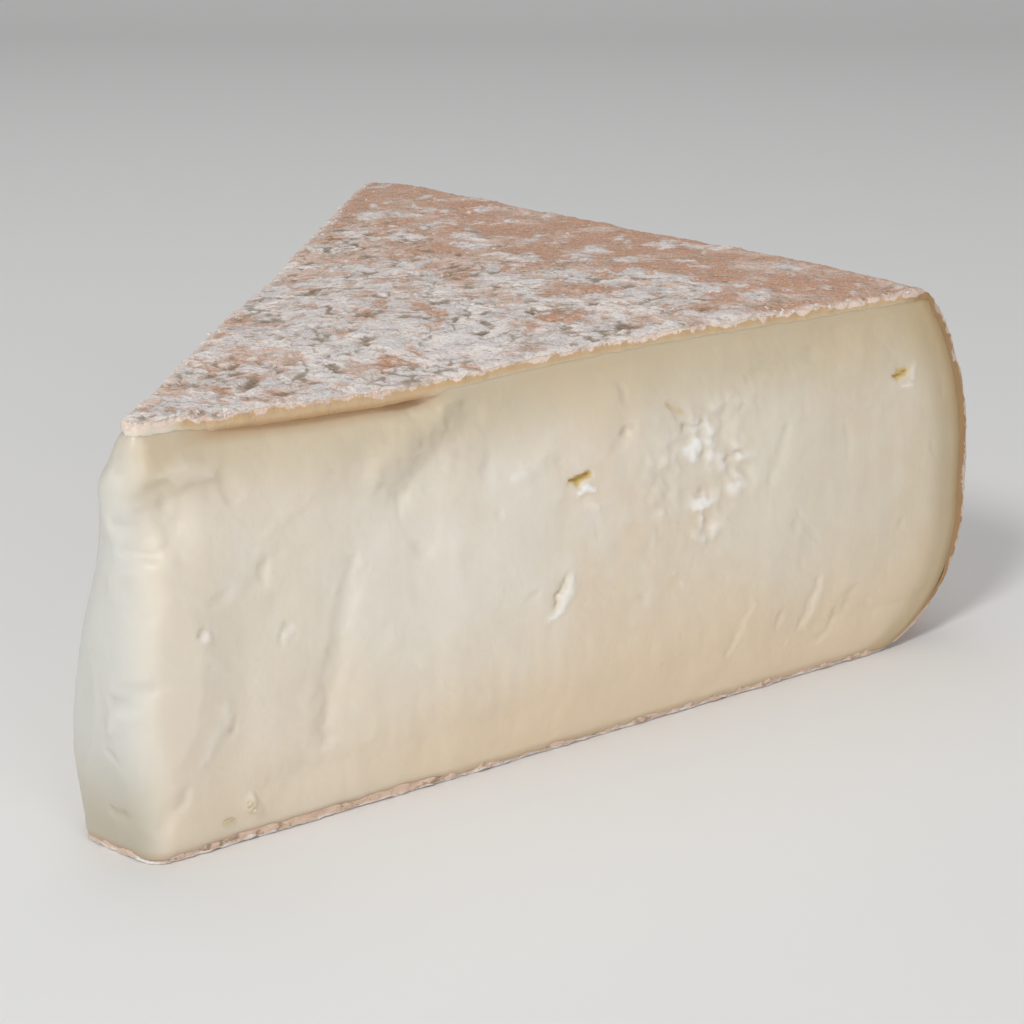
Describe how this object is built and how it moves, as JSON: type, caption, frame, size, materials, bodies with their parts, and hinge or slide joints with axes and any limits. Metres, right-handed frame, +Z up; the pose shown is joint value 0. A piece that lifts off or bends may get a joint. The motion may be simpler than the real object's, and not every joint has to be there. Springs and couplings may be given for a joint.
{
  "type": "taleggio cheese wedge",
  "caption": "Hand-cut wedge of a square washed-rind cheese, with a straight cut, a leaning cut, a blunt tip, a rounded rind side and soft paste that has slumped a little between thin rinds.",
  "frame": {"origin": "centre of the bottom of the part's box, which lies on the underside of the bottom rind", "axes": "+Z up; the upright cut faces -Y and runs along X; the tip points to -X and the rounded rind side faces +X"},
  "size_m": [0.1024, 0.1086, 0.0397],
  "materials": {
    "paste": "soft ivory paste, faintly moist, with a darker creamy line under the rind",
    "rind": "dry wrinkled washed rind, pinkish orange with grey and white bloom"
  },
  "bodies": {
    "root": {"cheese_wedge": "paste"}
  },
  "joints": []
}
